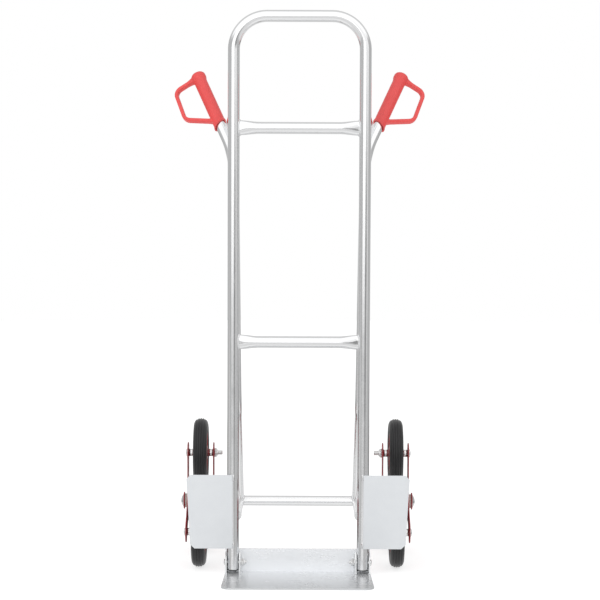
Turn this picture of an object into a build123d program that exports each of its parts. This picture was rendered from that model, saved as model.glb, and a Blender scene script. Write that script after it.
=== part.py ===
from build123d import *
import os
from math import asin, cos, radians, sin

# Stair climbing trolley, millimetres.
# X runs across the trolley, +Y from the load side to the wheels, +Z up.
# The origin is on the floor, in the middle of the footprint.

# ---------------------------------------------------------------- driving dimensions
height = 1190
rail_r = 12.5
rail_wall = 2
rail_x = 137.5
rail_bottom_z = 11.5
loop_bend_r = 70
upper_bar_z = 945
middle_bar_z = 495.5

wheel_r = 75
wheel_x = 213
tyre_width = 30.5
star_arm = 106
axle_behind_rail = 177.5

toe_width = 307
toe_front_width = 317
toe_reach = 160
toe_flange_height = 52.5
toe_sheet = 3.5

rear_tube_r = 11
rear_tube_wall = 1.8
axle_rod_r = 7.5

guard_bottom_z = 57.5
guard_top_z = 214.5

bolt_r = 5
toe_pin_r = 4
toe_pin_z = 26

running = 0.05
press = 0.02
weld_gap = 0.1
gap = 0.3

# ---------------------------------------------------------------- places worked out
axle_z = wheel_r + star_arm * sin(radians(30))
rear_reach = axle_behind_rail + star_arm * cos(radians(30)) + wheel_r
rail_y = -(rear_reach - toe_reach) / 2
axle_y = rail_y + axle_behind_rail
loop_top_z = height - rail_r
rear_tube_y = rail_y + rail_r + rear_tube_r


def save(solid, name):
    """Label a finished piece and write it as its own STEP file."""
    solid.label = name
    export_step(solid, f"parts/{name}.step")


def save_pair(solid, name):
    """Write a right-hand piece and its mirror image on the left."""
    save(solid, f"right_{name}")
    save(mirror(solid, about=Plane.YZ), f"left_{name}")


def save_both_sides(solid, name):
    """Write one node that holds a piece and its mirror image."""
    save(Compound(children=[*solid.solids(), *mirror(solid, about=Plane.YZ).solids()]), name)


def rod_along_x(x_start, x_end, radius, y, z, bore=0):
    """A round bar or sleeve parallel to X."""
    with BuildPart() as rod:
        with BuildSketch(Plane(origin=(x_start, y, z), x_dir=(0, 1, 0), z_dir=(1, 0, 0))):
            Circle(radius)
            if bore:
                Circle(bore, mode=Mode.SUBTRACT)
        extrude(amount=x_end - x_start)
    return rod.part


def nut_along_x(x_start, x_end, across_flats, y, z, bore):
    """A hexagon nut or bolt head parallel to X, with softened corners."""
    with BuildPart() as nut:
        with BuildSketch(Plane(origin=(x_start, y, z), x_dir=(0, 1, 0), z_dir=(1, 0, 0))):
            RegularPolygon(across_flats / 2, 6, major_radius=False)
            if bore:
                Circle(bore, mode=Mode.SUBTRACT)
        extrude(amount=x_end - x_start)
        rim = 1.04 * across_flats / 2
        with BuildSketch(Plane(origin=(x_start, y, z), x_dir=(0, 1, 0), z_dir=(1, 0, 0))):
            Circle(rim)
        extrude(amount=x_end - x_start, mode=Mode.INTERSECT)
    return nut.part


os.makedirs("parts", exist_ok=True)

# ---------------------------------------------------------------- main loop: rails and top bend
with BuildPart() as main_loop:
    with BuildLine() as loop_line:
        FilletPolyline(
            (-rail_x, rail_y, rail_bottom_z),
            (-rail_x, rail_y, loop_top_z),
            (rail_x, rail_y, loop_top_z),
            (rail_x, rail_y, rail_bottom_z),
            radius=loop_bend_r,
        )
    with BuildSketch(Plane(origin=loop_line.line @ 0, z_dir=loop_line.line % 0)):
        Circle(rail_r)
        Circle(rail_r - rail_wall, mode=Mode.SUBTRACT)
    sweep()
    rails_outside = rail_x + 2 * rail_r
    pin_hole = rod_along_x(-rails_outside, rails_outside, toe_pin_r + weld_gap, rail_y, toe_pin_z)
    add(pin_hole, mode=Mode.SUBTRACT)
save(main_loop.part, "main_loop")

# Plastic plugs close the open ends of the rails.
plug_flange = 2.4
plug_edge_r = 0.8
with BuildPart() as plug:
    with BuildSketch(Plane.XY.offset(rail_bottom_z - plug_flange)):
        with Locations((rail_x, rail_y)):
            Circle(rail_r)
    extrude(amount=plug_flange - weld_gap)
    fillet(plug.edges().group_by(Axis.Z)[0], plug_edge_r)
save_both_sides(plug.part, "rail_end_plugs")


# ---------------------------------------------------------------- crossbars
bar_wall = 2
squeeze = 42
squeezed_half_height = 15.6
squeezed_half_depth = 8.8
into_rail = 5.5


def crossbar(z):
    """A straight tube whose two ends are pressed taller and thinner where they meet the rails."""
    straight = rail_x - rail_r - squeeze

    def across(x):
        return Plane(origin=(x, rail_y, z), x_dir=(0, 1, 0), z_dir=(1, 0, 0))

    with BuildPart() as bar:
        for inset in (0, bar_wall):
            mode = Mode.SUBTRACT if inset else Mode.ADD
            with BuildSketch(across(-straight)):
                Circle(rail_r - inset)
            extrude(amount=2 * straight, mode=mode)
            for side in (-1, 1):
                with BuildSketch(across(side * straight)):
                    Circle(rail_r - inset)
                with BuildSketch(across(side * (rail_x - rail_r + into_rail))):
                    Ellipse(squeezed_half_depth - inset, squeezed_half_height - inset)
                loft(mode=mode)
        for side in (-1, 1):
            rail = Cylinder(rail_r + weld_gap, 6 * rail_r, mode=Mode.PRIVATE)
            add(rail.moved(Location((side * rail_x, rail_y, z))), mode=Mode.SUBTRACT)
    return bar.part


save(crossbar(upper_bar_z), "upper_crossbar")
save(crossbar(middle_bar_z), "middle_crossbar")

# ---------------------------------------------------------------- rear tubes: handle to axle
handle_slope_x = 0.4855
handle_slope_y = 0.70
handle_axis = Vector(handle_slope_x, handle_slope_y, 1).normalized()
handle_corner = Vector(138, rear_tube_y, 888.5)
lower_corner = Vector(131, rear_tube_y, 351)
axle_joint = Vector(129.5, axle_y, axle_z)
handle_bend_r = 130
lower_bend_r = 85
mouth_from_corner = 83.5
grip_length = 133
grip_mouth = handle_corner + handle_axis * mouth_from_corner
handle_end = grip_mouth + handle_axis * (grip_length - 2)

with BuildPart() as rear_tube:
    with BuildLine() as rear_line:
        FilletPolyline(
            handle_end,
            handle_corner,
            lower_corner,
            axle_joint,
            radius=[handle_bend_r, lower_bend_r],
        )
    with BuildSketch(Plane(origin=rear_line.line @ 0, z_dir=rear_line.line % 0)):
        Circle(rear_tube_r)
        Circle(rear_tube_r - rear_tube_wall, mode=Mode.SUBTRACT)
    sweep()
    add(rod_along_x(0, wheel_x, rear_tube_r, axle_y, axle_z), mode=Mode.SUBTRACT)
save_pair(rear_tube.part, "rear_tube")

# A level strut runs from the foot of each rail back to the axle joint, under the rear tube.
strut_r = 10.5
strut_wall = 1.8
strut_z = 126
strut_x = 130
strut_end_wall = 3
cut_length = 90
lower_run = lower_corner - axle_joint
with BuildPart() as strut:
    with BuildSketch(Plane(origin=(strut_x, rail_y, strut_z), z_dir=(0, 1, 0))):
        Circle(strut_r)
    extrude(amount=axle_behind_rail)
    with BuildSketch(Plane(origin=(strut_x, rail_y + strut_end_wall, strut_z), z_dir=(0, 1, 0))):
        Circle(strut_r - strut_wall)
    extrude(amount=axle_behind_rail, mode=Mode.SUBTRACT)
    with BuildSketch(Plane(origin=(rail_x, rail_y, strut_z - cut_length / 2))):
        Circle(rail_r + weld_gap)
    extrude(amount=cut_length, mode=Mode.SUBTRACT)
    with BuildSketch(Plane(origin=axle_joint, z_dir=lower_run.normalized())):
        Circle(rear_tube_r)
    extrude(amount=cut_length, mode=Mode.SUBTRACT)
    add(rod_along_x(0, wheel_x, rear_tube_r, axle_y, axle_z), mode=Mode.SUBTRACT)
save_pair(max(strut.part.solids(), key=lambda piece: piece.volume), "lower_strut")

# A small gusset plate ties each rail to the handle tube where the two part.
brace_thick = 4
brace_top_z = 1000
brace_bottom_z = 916
brace_low_z = 940
brace_reach = 53
brace_out = Vector(handle_slope_x * 0.85, handle_slope_y + 0.45, 0).normalized()
brace_side = brace_out.cross(Vector(0, 0, 1))
with BuildPart() as brace:
    with BuildSketch(Plane(origin=(rail_x, rail_y, 0), x_dir=brace_out, z_dir=brace_side)):
        with BuildLine():
            Polyline(
                (8, brace_top_z),
                (8, brace_bottom_z),
                (brace_reach - 14, brace_bottom_z),
                (brace_reach + 6, brace_low_z - 2),
                (brace_reach, brace_low_z + 6),
                close=True,
            )
        make_face()
    extrude(amount=brace_thick / 2, both=True)
    with BuildSketch(Plane(origin=(rail_x, rail_y, brace_bottom_z - rail_r))):
        Circle(rail_r + gap)
    extrude(amount=brace_top_z - brace_bottom_z + 2 * rail_r, mode=Mode.SUBTRACT)
    with BuildSketch(Plane(origin=rear_line.line @ 0, z_dir=rear_line.line % 0)):
        Circle(rear_tube_r)
    sweep(path=rear_line.line, mode=Mode.SUBTRACT)
save_pair(max(brace.part.solids(), key=lambda piece: piece.volume), "handle_brace")

# ---------------------------------------------------------------- D grips
sleeve_r = 13.8
lip_r = 16
lip_length = 8
dome_height = 7
guard_out = Vector(handle_axis.Z, 0, -handle_axis.X).normalized()
guard_plane = Plane(origin=grip_mouth, x_dir=guard_out, z_dir=guard_out.cross(handle_axis))
guard_thick = 6.5
guard_width = 13.5
guard_edge_r = 2.6
tongue_length = 9

with BuildPart() as grip:
    with BuildSketch(Plane(origin=grip_mouth, z_dir=handle_axis)):
        Circle(sleeve_r)
    extrude(amount=grip_length)
    lip_start = grip_mouth + handle_axis * (grip_length - lip_length)
    with BuildSketch(Plane(origin=lip_start, z_dir=handle_axis)):
        Circle(lip_r)
    extrude(amount=lip_length + dome_height)
    dome_edge = grip.edges().sort_by(Axis(grip_mouth, handle_axis))[-1]
    fillet(dome_edge, dome_height - 0.5)
    with BuildSketch(Plane(origin=grip_mouth, z_dir=-handle_axis)):
        Circle(sleeve_r)
    extrude(amount=tongue_length)
    with BuildSketch(guard_plane):
        with BuildLine():
            Polyline(
                (-sleeve_r - 1, 0),
                (sleeve_r + 1, -tongue_length),
                (sleeve_r + 1, -tongue_length - 1),
                (-sleeve_r - 1, -tongue_length - 1),
                close=True,
            )
        make_face()
    extrude(amount=sleeve_r + 1, both=True, mode=Mode.SUBTRACT)
    with BuildLine(guard_plane) as guard_line:
        FilletPolyline((8, 127.5), (60, 120), (63.9, 46.5), (8, 9.5), radius=[16, 18])
    guard_start = Plane(origin=guard_line.line @ 0, x_dir=guard_plane.z_dir, z_dir=guard_line.line % 0)
    with BuildSketch(guard_start):
        RectangleRounded(guard_width, guard_thick, guard_edge_r)
    sweep(path=guard_line.line)
    tongue_end = grip_mouth - handle_axis * (tongue_length + 1)
    with BuildSketch(Plane(origin=tongue_end, z_dir=handle_axis)):
        Circle(rear_tube_r)
    extrude(amount=grip_length + tongue_length - 1, mode=Mode.SUBTRACT)
save_pair(grip.part, "grip")

# ---------------------------------------------------------------- axle
axle_tube_half = 178
washer_thick = 2.4
inner_washer_r = 15
outer_washer_r = 18.5
star_plate = 2.5
half_plate_gap = 28
outer_plate_x = wheel_x + half_plate_gap
inner_plate_x = wheel_x - half_plate_gap
hub_flange = 2
hub_outer_flange = 5.7
hub_outer_end = outer_plate_x + star_plate / 2 + hub_outer_flange
outer_washer_x = hub_outer_end + gap
cap_x = outer_washer_x + washer_thick
rod_into_cap = 2.6
axle_end = cap_x + rod_into_cap
cap_dome = 5.8
cap_r = 14.8
cap_dome_r = (cap_r**2 + cap_dome**2) / (2 * cap_dome)
cap_half_turn = asin(cap_r / cap_dome_r) / 2
cap_arc_middle_x = cap_x + cap_dome - cap_dome_r * (1 - cos(cap_half_turn))

axle_hole_r = axle_rod_r + press
axle_tube = rod_along_x(-axle_tube_half, axle_tube_half, rear_tube_r, axle_y, axle_z, axle_hole_r)
save(axle_tube, "axle_tube")

with BuildPart() as axle_rod:
    add(rod_along_x(-axle_end, axle_end, axle_rod_r, axle_y, axle_z))
    chamfer(axle_rod.faces().sort_by(Axis.X)[0].edges(), 1)
    chamfer(axle_rod.faces().sort_by(Axis.X)[-1].edges(), 1)
save(axle_rod.part, "axle_rod")

inner_washer_end = axle_tube_half + washer_thick
inner_washer = rod_along_x(axle_tube_half, inner_washer_end, inner_washer_r, axle_y, axle_z, axle_hole_r)
save_both_sides(inner_washer, "axle_inner_washers")
outer_washer = rod_along_x(outer_washer_x, cap_x, outer_washer_r, axle_y, axle_z, axle_hole_r)
save_both_sides(outer_washer, "axle_outer_washers")

with BuildPart() as axle_cap:
    with BuildSketch(Plane.XY):
        with BuildLine():
            Polyline((cap_x + cap_dome, 0), (cap_x, 0), (cap_x, cap_r))
            ThreePointArc(
                (cap_x, cap_r),
                (cap_arc_middle_x, cap_dome_r * sin(cap_half_turn)),
                (cap_x + cap_dome, 0),
            )
        make_face()
    revolve(axis=Axis.X)
    add(rod_along_x(cap_x, axle_end + gap, axle_hole_r, 0, 0), mode=Mode.SUBTRACT)
save_both_sides(axle_cap.part.moved(Location((0, axle_y, axle_z))), "axle_caps")

# ---------------------------------------------------------------- wheel guards
# Flat sheets whose inner edges are welded along the front of the rails.
guard_sheet = 2
guard_corner_cut = 9
guard_front_y = rail_y - rail_r - weld_gap
guard_inner_x = rail_x + 0.5
guard_top_x = 236
guard_bottom_x = 227.5
guard_weld_r = 2.2
guard_weld_length = 12

with BuildPart() as wheel_guard:
    with BuildSketch(Plane(origin=(0, guard_front_y, 0), x_dir=(1, 0, 0), z_dir=(0, -1, 0))):
        with BuildLine():
            Polyline(
                (guard_inner_x, guard_bottom_z),
                (guard_bottom_x, guard_bottom_z),
                (guard_top_x, guard_top_z),
                (guard_inner_x, guard_top_z),
                close=True,
            )
        flat_panel = make_face()
        outer_corners = flat_panel.vertices().filter_by(lambda corner: corner.X > rail_x + rail_r)
        chamfer(outer_corners, guard_corner_cut)
    extrude(amount=guard_sheet)
save_pair(wheel_guard.part, "wheel_guard")

with BuildPart() as guard_welds:
    for weld_z in (guard_bottom_z, guard_top_z - guard_weld_length):
        with BuildSketch(Plane.XY.offset(weld_z)):
            with Locations((guard_inner_x - 0.7 * guard_weld_r, guard_front_y - guard_sheet / 2)):
                Circle(guard_weld_r)
            with Locations((rail_x, rail_y)):
                Circle(rail_r + weld_gap, mode=Mode.SUBTRACT)
            with Locations((guard_inner_x - weld_gap, guard_front_y)):
                Rectangle(rail_r, rail_r, align=(Align.MIN, Align.CENTER), mode=Mode.SUBTRACT)
        extrude(amount=guard_weld_length)
save_both_sides(guard_welds.part, "guard_welds")

# ---------------------------------------------------------------- toe plate and its lugs
flange_front_y = rail_y + rail_r + 0.2
flange_back_y = flange_front_y + toe_sheet
toe_front_y = rail_y - toe_reach
inner_bend = 5
front_corner_r = 20
with BuildPart() as toe_plate:
    with BuildSketch(Plane(origin=(-toe_front_width / 2, 0, 0), x_dir=(0, 1, 0), z_dir=(1, 0, 0))):
        with BuildLine():
            Polyline(
                (toe_front_y, 0),
                (flange_back_y, 0),
                (flange_back_y, toe_flange_height),
                (flange_front_y, toe_flange_height),
                (flange_front_y, toe_sheet),
                (toe_front_y, toe_sheet),
                close=True,
            )
        bent_sheet = make_face()
        bend_inside = (-toe_front_width / 2, flange_front_y, toe_sheet)
        fillet(bent_sheet.vertices().sort_by_distance(bend_inside)[0], inner_bend)
        heel = (-toe_front_width / 2, flange_back_y, 0)
        fillet(bent_sheet.vertices().sort_by_distance(heel)[0], inner_bend + toe_sheet)
    extrude(amount=toe_front_width)
    with BuildSketch(Plane.XY):
        with BuildLine():
            Polyline(
                (-toe_front_width / 2, toe_front_y),
                (toe_front_width / 2, toe_front_y),
                (toe_width / 2, flange_front_y),
                (toe_width / 2, flange_back_y),
                (-toe_width / 2, flange_back_y),
                (-toe_width / 2, flange_front_y),
                close=True,
            )
        make_face()
    extrude(amount=toe_flange_height, mode=Mode.INTERSECT)
    fillet(toe_plate.edges().filter_by(Axis.Z).group_by(Axis.Y)[0], front_corner_r)
save(toe_plate.part, "toe_plate")

# Two lugs stand on the toe plate either side of each rail, and one bolt crosses all three.
lug_thick = 3.2
lug_height = 47
lug_slope = 12
lug_front_y = rail_y - 14
lug_gap = 0.4
outer_lug_x = rail_x + rail_r + lug_gap
inner_lug_x = rail_x - rail_r - lug_gap - lug_thick
with BuildPart() as lugs:
    for lug_x in (outer_lug_x, inner_lug_x):
        with BuildSketch(Plane(origin=(lug_x, 0, 0), x_dir=(0, 1, 0), z_dir=(1, 0, 0))):
            with BuildLine():
                Polyline(
                    (lug_front_y, toe_sheet),
                    (flange_front_y - inner_bend - 1, toe_sheet),
                    (flange_front_y, toe_sheet + inner_bend + 1),
                    (flange_front_y, lug_height),
                    (rail_y - 2, lug_height),
                    (lug_front_y, lug_height - lug_slope),
                    close=True,
                )
            make_face()
            with Locations((rail_y, toe_pin_z)):
                Circle(toe_pin_r + weld_gap, mode=Mode.SUBTRACT)
        extrude(amount=lug_thick)
save_pair(lugs.part, "toe_lugs")

toe_head_r = 6.8
toe_head_thick = 3.2
toe_head_edge_r = 2.2
toe_washer_r = 9
toe_washer_thick = 1.8
toe_nut_thick = 7.5
toe_nut_flats = 13
toe_thread_past_nut = 3.5
toe_bolt_head_x = outer_lug_x + lug_thick
toe_washer_x = inner_lug_x - toe_washer_thick
toe_nut_x = toe_washer_x - toe_nut_thick
toe_hole_r = toe_pin_r + press
with BuildPart() as toe_bolt:
    add(rod_along_x(toe_nut_x - toe_thread_past_nut, toe_bolt_head_x, toe_pin_r, rail_y, toe_pin_z))
    add(rod_along_x(toe_bolt_head_x, toe_bolt_head_x + toe_head_thick, toe_head_r, rail_y, toe_pin_z))
    fillet(toe_bolt.faces().sort_by(Axis.X)[-1].edges(), toe_head_edge_r)
save_both_sides(toe_bolt.part, "toe_bolts")
toe_washer = rod_along_x(toe_washer_x, inner_lug_x, toe_washer_r, rail_y, toe_pin_z, toe_hole_r)
save_both_sides(toe_washer, "toe_washers")
toe_nut = nut_along_x(toe_nut_x, toe_washer_x, toe_nut_flats, rail_y, toe_pin_z, toe_hole_r)
save_both_sides(toe_nut, "toe_nuts")

# ---------------------------------------------------------------- three-wheel stars
tip_r = 22.5
waist_r = 38
hub_sleeve_r = 15
hub_bush_r = 10.5
hub_bush_length = 22
spacer_r = 8
hub_half_width = 14
thread_end_x = 166
bolt_head_r = 9
bolt_head_thick = 4
bolt_head_edge_r = 2.5
wheel_nut_thick = 8
wheel_nut_flats = 17
star_angles = {"top": 90, "front": 210, "rear": 330}


def star_point(radius, angle, centre_y=0, centre_z=0):
    """A point in the plane of the star, at this radius and angle from its hub."""
    return (centre_y + radius * cos(radians(angle)), centre_z + radius * sin(radians(angle)))


def star_outline():
    """Draw round tips joined by hollow sides that run smoothly into them."""
    squares = tip_r**2 - waist_r**2 - star_arm**2 + star_arm * waist_r
    hollow_r = squares / (2 * waist_r - star_arm - 2 * tip_r)
    share = tip_r / (tip_r + hollow_r)
    for angle in star_angles.values():
        tip = Vector(*star_point(star_arm, angle))
        next_tip = Vector(*star_point(star_arm, angle + 120))
        hollow_before = Vector(*star_point(hollow_r + waist_r, angle - 60))
        hollow_after = Vector(*star_point(hollow_r + waist_r, angle + 60))
        tip_start = tip + (hollow_before - tip) * share
        tip_finish = tip + (hollow_after - tip) * share
        next_start = next_tip + (hollow_after - next_tip) * share
        ThreePointArc(tip_start, Vector(*star_point(star_arm + tip_r, angle)), tip_finish)
        ThreePointArc(tip_finish, Vector(*star_point(waist_r, angle + 60)), next_start)


def star_plate_at(x_centre):
    """One pressed steel star plate with its hub hole and three bolt holes."""
    with BuildPart() as plate:
        face_x = x_centre - star_plate / 2
        with BuildSketch(Plane(origin=(face_x, axle_y, axle_z), x_dir=(0, 1, 0), z_dir=(1, 0, 0))):
            with BuildLine():
                star_outline()
            make_face()
            Circle(hub_bush_r, mode=Mode.SUBTRACT)
            with Locations(*[star_point(star_arm, angle) for angle in star_angles.values()]):
                Circle(bolt_r + press, mode=Mode.SUBTRACT)
        extrude(amount=star_plate)
    return plate.part


def hub_bush(face_x, inward, flange):
    """A flanged nylon bush that carries the star on the axle rod."""
    barrel_end = face_x + inward * hub_bush_length
    flange_end = face_x - inward * flange
    with BuildPart() as bush:
        add(rod_along_x(min(face_x, barrel_end), max(face_x, barrel_end), hub_bush_r, axle_y, axle_z))
        add(rod_along_x(min(face_x, flange_end), max(face_x, flange_end), hub_sleeve_r, axle_y, axle_z))
        bore_start = face_x - 2 * hub_bush_length
        bore_end = face_x + 2 * hub_bush_length
        bore = rod_along_x(bore_start, bore_end, axle_rod_r + running, axle_y, axle_z)
        add(bore, mode=Mode.SUBTRACT)
    return bush.part


plate_gap_start = inner_plate_x + star_plate / 2
plate_gap_end = outer_plate_x - star_plate / 2
plate_outer_face = outer_plate_x + star_plate / 2
plate_inner_face = inner_plate_x - star_plate / 2
save_pair(star_plate_at(outer_plate_x), "star_outer_plate")
save_pair(star_plate_at(inner_plate_x), "star_inner_plate")
hub_sleeve = rod_along_x(plate_gap_start, plate_gap_end, hub_sleeve_r, axle_y, axle_z, hub_bush_r)
save_pair(hub_sleeve, "star_hub_sleeve")
with BuildPart() as hub_bushes:
    add(hub_bush(plate_outer_face, -1, hub_outer_flange))
    add(hub_bush(plate_inner_face, 1, hub_flange))
save_pair(hub_bushes.part, "star_hub_bushes")

star_bolt_places = [star_point(star_arm, angle, axle_y, axle_z) for angle in star_angles.values()]
with BuildPart() as wheel_bolts:
    for bolt_y, bolt_z in star_bolt_places:
        add(rod_along_x(thread_end_x, plate_outer_face, bolt_r, bolt_y, bolt_z))
        add(rod_along_x(plate_outer_face, plate_outer_face + bolt_head_thick, bolt_head_r, bolt_y, bolt_z))
    fillet(wheel_bolts.faces().group_by(Axis.X)[-1].edges(), bolt_head_edge_r)
save_pair(wheel_bolts.part, "star_wheel_bolts")

with BuildPart() as wheel_nuts:
    for bolt_y, bolt_z in star_bolt_places:
        nut_end_x = plate_inner_face - wheel_nut_thick
        add(nut_along_x(nut_end_x, plate_inner_face, wheel_nut_flats, bolt_y, bolt_z, bolt_r + press))
save_pair(wheel_nuts.part, "star_wheel_nuts")

hub_inner_x = wheel_x - hub_half_width
hub_outer_x = wheel_x + hub_half_width
with BuildPart() as spacers:
    for bolt_y, bolt_z in star_bolt_places:
        add(rod_along_x(plate_gap_start, hub_inner_x - gap, spacer_r, bolt_y, bolt_z, bolt_r + press))
        add(rod_along_x(hub_outer_x + gap, plate_gap_end, spacer_r, bolt_y, bolt_z, bolt_r + press))
save_pair(spacers.part, "star_wheel_spacers")

# ---------------------------------------------------------------- wheels
seat_r = 53
rim_inner_r = 47.5
rim_half_width = 12
hub_r = 15
wheel_bush_r = 8
web_half = 2.5
window_count = 5
window_middle_r = 31
window_r = 8.5
shoulder_r = 13.5

with BuildPart() as tyre:
    with BuildSketch(Plane.XY):
        with Locations((0, (seat_r + wheel_r) / 2)):
            tread = Rectangle(tyre_width, wheel_r - seat_r)
        fillet(tread.vertices().group_by(Axis.Y)[-1], shoulder_r)
        fillet(tread.vertices().group_by(Axis.Y)[0], 1.5)
    revolve(axis=Axis.X)

with BuildPart() as rim:
    with BuildSketch(Plane.XY):
        with Locations((0, (rim_inner_r + seat_r) / 2)):
            Rectangle(2 * rim_half_width, seat_r - rim_inner_r)
        with Locations((0, (wheel_bush_r + hub_r) / 2)):
            Rectangle(2 * hub_half_width, hub_r - wheel_bush_r)
        with Locations((0, (wheel_bush_r + seat_r) / 2)):
            Rectangle(2 * web_half, seat_r - wheel_bush_r - 1)
    revolve(axis=Axis.X)
    with BuildSketch(Plane(origin=(-web_half, 0, 0), x_dir=(0, 1, 0), z_dir=(1, 0, 0))):
        with PolarLocations(window_middle_r, window_count):
            Circle(window_r)
    extrude(amount=2 * web_half, mode=Mode.SUBTRACT)

wheel_bush = rod_along_x(-hub_half_width, hub_half_width, wheel_bush_r, 0, 0, bolt_r + running)

for side, sign in (("right", 1), ("left", -1)):
    for place, angle in star_angles.items():
        centre_y, centre_z = star_point(star_arm, angle, axle_y, axle_z)
        spot = Location((sign * wheel_x, centre_y, centre_z))
        save(tyre.part.moved(spot), f"{side}_{place}_tyre")
        save(rim.part.moved(spot), f"{side}_{place}_rim")
        save(wheel_bush.moved(spot), f"{side}_{place}_wheel_bush")
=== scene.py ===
from math import ceil, cos, exp, pi, radians, sin, sqrt, tan

import bmesh
import bpy
from mathutils import Matrix, Vector


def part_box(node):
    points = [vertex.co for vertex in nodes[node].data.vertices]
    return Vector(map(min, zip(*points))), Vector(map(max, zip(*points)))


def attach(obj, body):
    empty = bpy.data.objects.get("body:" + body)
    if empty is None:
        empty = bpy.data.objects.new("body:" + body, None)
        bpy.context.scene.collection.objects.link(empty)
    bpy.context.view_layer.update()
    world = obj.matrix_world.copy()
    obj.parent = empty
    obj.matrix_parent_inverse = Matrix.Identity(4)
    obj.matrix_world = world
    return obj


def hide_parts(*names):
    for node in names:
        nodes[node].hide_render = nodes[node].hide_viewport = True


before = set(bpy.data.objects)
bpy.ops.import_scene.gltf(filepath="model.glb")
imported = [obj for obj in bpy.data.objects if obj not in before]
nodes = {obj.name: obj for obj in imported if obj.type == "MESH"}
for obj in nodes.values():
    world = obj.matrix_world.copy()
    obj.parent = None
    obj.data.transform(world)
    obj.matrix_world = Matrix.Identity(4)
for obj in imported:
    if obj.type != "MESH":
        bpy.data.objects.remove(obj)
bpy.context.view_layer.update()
scene = bpy.context.scene

SIDES = (("right", 1), ("left", -1))
PLACES = ("top", "front", "rear")

# ---------------------------------------------------------------- places read from the frame


def middle(node):
    """Centre of a node's box."""
    low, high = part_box(node)
    return (low + high) / 2


def half_size(node):
    """Half the extent of a node's box along each axis."""
    low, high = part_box(node)
    return (high - low) / 2


loop_low, loop_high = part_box("main_loop")
RAIL_R = half_size("rail_end_plugs").y
RAIL_Y = middle("rail_end_plugs").y
RAIL_X = loop_high.x - RAIL_R
RAIL_BOTTOM_Z = loop_low.z
LOOP_TOP_Z = loop_high.z - RAIL_R
LOOP_BEND_R = 0.070
AXLE = middle("axle_rod")
REAR_TUBE_R = half_size("axle_tube").z

# ---------------------------------------------------------------- material building blocks


class Shader:
    """A material with a Principled shader and short calls for the nodes behind it."""

    def __init__(self, name, colour, roughness, metallic=0.0):
        self.material = bpy.data.materials.new(name)
        self.material.use_nodes = True
        self.tree = self.material.node_tree
        self.shader = self.tree.nodes["Principled BSDF"]
        self.shader.inputs["Base Color"].default_value = (*colour, 1)
        self.shader.inputs["Roughness"].default_value = roughness
        self.shader.inputs["Metallic"].default_value = metallic
        self.coordinates = self.node("ShaderNodeTexCoord")
        self.heights = []

    def node(self, kind, **settings):
        """Add a shader node with the given settings."""
        made = self.tree.nodes.new(kind)
        for key, value in settings.items():
            setattr(made, key, value)
        return made

    def link(self, source, target):
        """Join an output to an input."""
        self.tree.links.new(source, target)

    def stretched(self, scale, output="Object"):
        """Coordinates scaled differently along each axis."""
        mapping = self.node("ShaderNodeMapping")
        mapping.inputs["Scale"].default_value = scale
        self.link(self.coordinates.outputs[output], mapping.inputs["Vector"])
        return mapping.outputs["Vector"]

    def noise(self, vector, scale, detail, roughness):
        """Noise read at a vector, from 0 to 1."""
        made = self.node("ShaderNodeTexNoise")
        made.inputs["Scale"].default_value = scale
        made.inputs["Detail"].default_value = detail
        made.inputs["Roughness"].default_value = roughness
        self.link(vector, made.inputs["Vector"])
        return made.outputs["Fac"]

    def ranged(self, value, low, high, from_low=0.3, from_high=0.7):
        """A value mapped to a range of another quantity; the default input range suits noise."""
        made = self.node("ShaderNodeMapRange")
        made.inputs["From Min"].default_value = from_low
        made.inputs["From Max"].default_value = from_high
        made.inputs["To Min"].default_value = low
        made.inputs["To Max"].default_value = high
        self.link(value, made.inputs["Value"])
        return made.outputs["Result"]

    def two_colours(self, value, first, second):
        """A colour between two, chosen by a value from 0 to 1."""
        made = self.node("ShaderNodeMix", data_type="RGBA")
        made.inputs["A"].default_value = (*first, 1)
        made.inputs["B"].default_value = (*second, 1)
        self.link(value, made.inputs["Factor"])
        return made.outputs["Result"]

    def bump(self, height, distance, strength):
        """Stack one more bump on the surface."""
        made = self.node("ShaderNodeBump")
        made.inputs["Distance"].default_value = distance
        made.inputs["Strength"].default_value = strength
        self.link(height, made.inputs["Height"])
        if self.heights:
            self.link(self.heights[-1].outputs["Normal"], made.inputs["Normal"])
        self.heights.append(made)
        self.link(made.outputs["Normal"], self.shader.inputs["Normal"])

    def to(self, value, socket):
        """Drive one of the shader's inputs."""
        self.link(value, self.shader.inputs[socket])


def drawn_aluminium(name, along):
    """Polished drawn tube: fine die lines along its length, faint scratches and cloudy handling marks.
    along is an axis of the frame, or UV for a tube whose texture coordinates run along it."""
    made = Shader(name, (0.92, 0.925, 0.93), 0.13, 1.0)
    output = "UV" if along == "UV" else "Object"
    running = "Y" if along == "UV" else along

    def drawn_out(lengthwise, crosswise):
        scale = tuple(lengthwise if axis == running else crosswise for axis in "XYZ")
        return made.stretched(scale, output)

    lines = made.noise(drawn_out(9.0, 2600.0), 1.0, 3.0, 0.6)
    clouds = made.noise(made.stretched((1, 1, 1)), 22.0, 3.0, 0.55)
    scratches = made.noise(drawn_out(30.0, 420.0), 1.0, 4.0, 0.7)
    roughness = made.node("ShaderNodeMath", operation="ADD")
    made.link(made.ranged(lines, 0.07, 0.15), roughness.inputs[0])
    made.link(made.ranged(clouds, 0.0, 0.06), roughness.inputs[1])
    made.to(roughness.outputs[0], "Roughness")
    dull, bright = (0.90, 0.905, 0.915), (0.94, 0.942, 0.945)
    made.to(made.two_colours(made.ranged(scratches, 0, 1), dull, bright), "Base Color")
    made.bump(lines, 0.00002, 0.35)
    made.bump(scratches, 0.00003, 0.25)
    return made.material


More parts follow.
